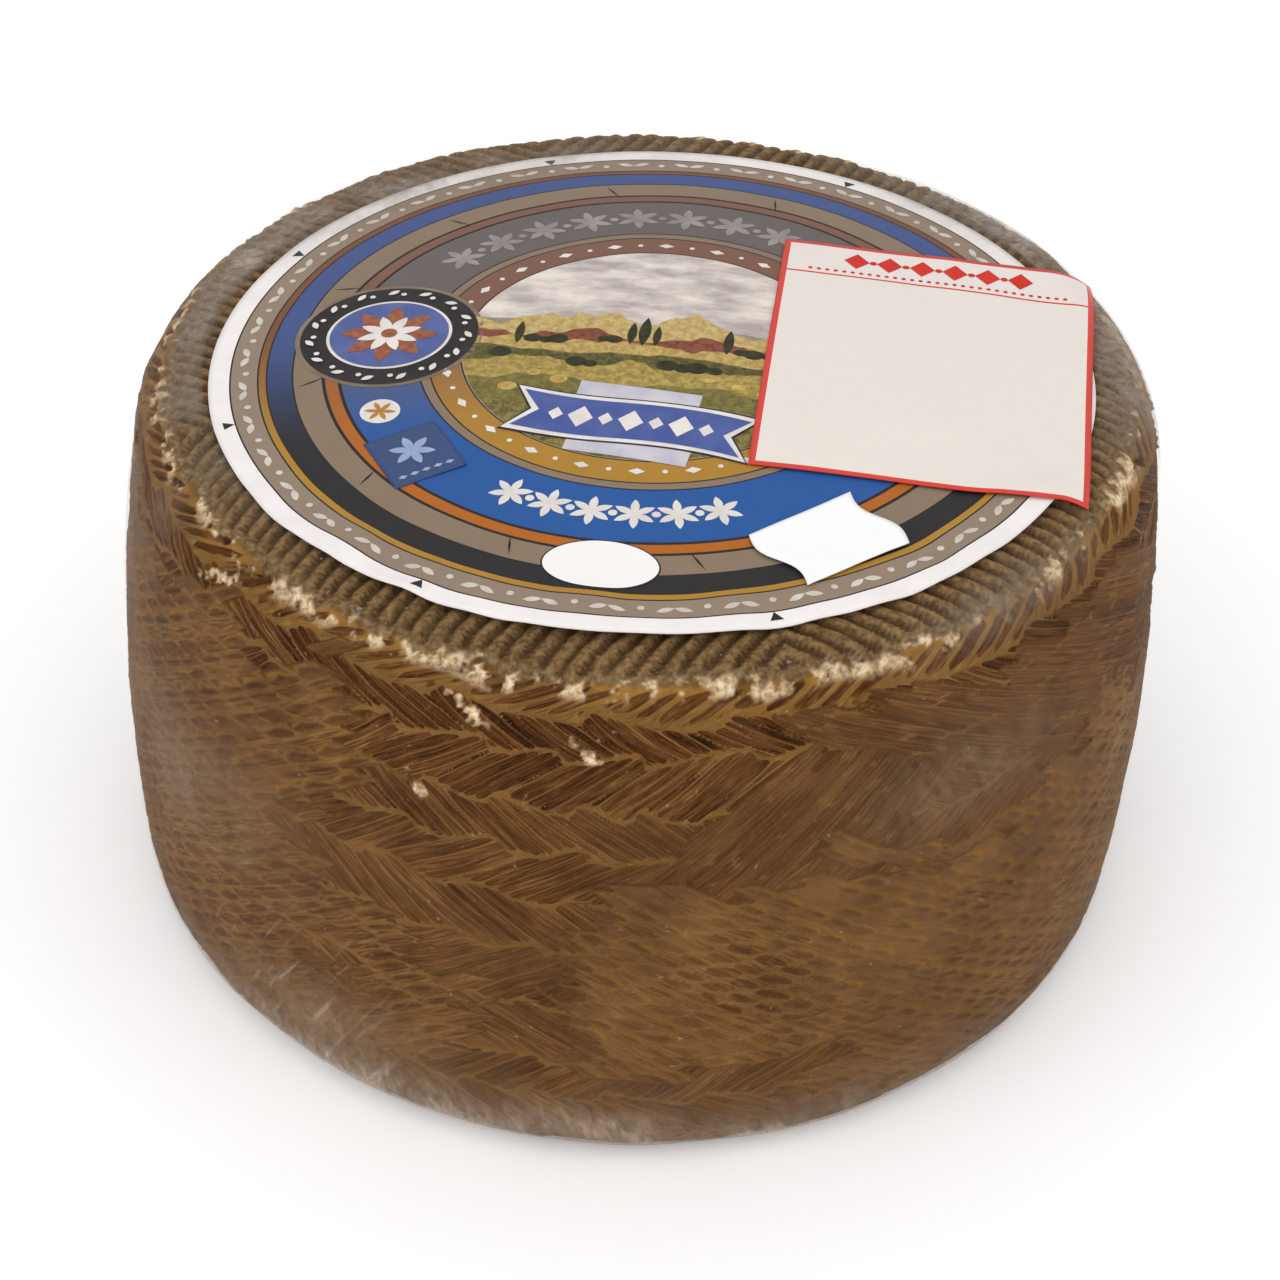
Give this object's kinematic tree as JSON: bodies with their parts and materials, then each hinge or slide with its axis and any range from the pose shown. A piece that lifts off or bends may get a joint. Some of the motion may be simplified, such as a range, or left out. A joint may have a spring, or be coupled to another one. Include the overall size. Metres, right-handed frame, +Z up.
{
  "type": "cheese wheel",
  "caption": "Whole cured cheese wheel with a ribbed top and a plait-patterned side, in clear shrink film, with a round paper label and small paper stickers.",
  "frame": {"origin": "middle of the footprint, on the surface that the wheel stands on", "axes": "+Z up through the wheel, -Y towards the side that the picture shows, +X to its right"},
  "size_m": [0.1943, 0.1989, 0.1094],
  "materials": {
    "rind": "brown cheese rind with a light crumbly rim, under tight clear film",
    "label_paper": "printed coated paper in rings of white, taupe, black, blue and gold",
    "sticker_paper": "smooth thermal paper with a printed red edge",
    "white_paper": "plain white paper",
    "blue_sticker": "dark blue printed sticker",
    "clear_film": "tight clear shrink film"
  },
  "bodies": {
    "root": {"cheese_wheel": "rind", "round_label": "label_paper", "price_sticker": "sticker_paper", "blank_sticker": "white_paper", "control_sticker": "blue_sticker"}
  },
  "joints": []
}
